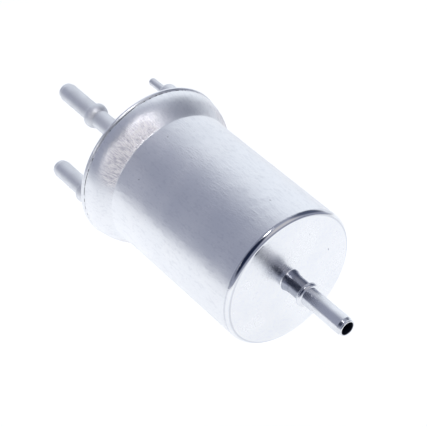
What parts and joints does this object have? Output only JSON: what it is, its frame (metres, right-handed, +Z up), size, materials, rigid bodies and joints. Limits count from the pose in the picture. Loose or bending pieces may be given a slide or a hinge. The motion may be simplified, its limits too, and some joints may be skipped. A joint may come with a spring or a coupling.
{
  "type": "fuel filter",
  "caption": "Inline fuel filter in a drawn aluminium can with a flared, crimped head, quick-connect tubes at both ends and a pressure regulator inside.",
  "frame": {"origin": "on the can's axis, in the middle of the straight wall where a clamp band holds the filter (38 mm behind the outlet end face)", "axes": "+X along the can's axis towards the outlet tube, +Z up as the filter lies level; the inlet tube leans 35.1 degrees from +Z towards -Y and the return tube is 90 degrees further round"},
  "size_m": [0.1613, 0.0714, 0.0714],
  "materials": {
    "can_aluminium": "satin drawn aluminium, fine grain with faint draw marks",
    "cover_aluminium": "pressed aluminium sheet, satin",
    "tube_aluminium": "drawn aluminium tube, satin",
    "stud_aluminium": "turned aluminium, fine turning lines",
    "filter_paper": "resin-treated pleated filter paper, matt",
    "cap_nylon": "natural moulded nylon",
    "black_nylon": "black moulded nylon",
    "screen_nylon": "woven nylon screen",
    "seal_rubber": "black fuel-proof rubber",
    "spring_steel": "oiled spring steel",
    "zinc_steel": "zinc-plated pressed steel",
    "brass": "turned brass"
  },
  "bodies": {
    "root": {"filter_can": "can_aluminium", "head_cover": "cover_aluminium", "cover_seal": "seal_rubber", "outlet_tube": "tube_aluminium", "inlet_tube": "tube_aluminium", "return_tube": "tube_aluminium", "earth_stud": "stud_aluminium", "pleated_media": "filter_paper", "core_tube": "cap_nylon", "outlet_end_cap": "cap_nylon", "head_end_cap": "cap_nylon", "outlet_seal": "seal_rubber", "element_spring": "spring_steel", "regulator_carrier": "black_nylon", "carrier_seal": "seal_rubber", "return_seal": "seal_rubber", "regulator_seal": "seal_rubber", "regulator_base": "zinc_steel", "regulator_bonnet": "zinc_steel", "regulator_strainer": "screen_nylon", "regulator_clip": "spring_steel", "regulator_spring": "spring_steel", "diaphragm": "seal_rubber", "valve_ball": "spring_steel"},
    "valve": {"valve_sleeve": "brass", "diaphragm_cup": "zinc_steel"}
  },
  "joints": [
    {"name": "valve_lift", "type": "slide", "parent": "root", "child": "valve", "axis": [-1, 0, 0], "range_m": [0, 0.0008], "stiffness_N_per_m": 500, "springref_m": -0.0002, "deforming": ["regulator_spring", "diaphragm"]}
  ]
}
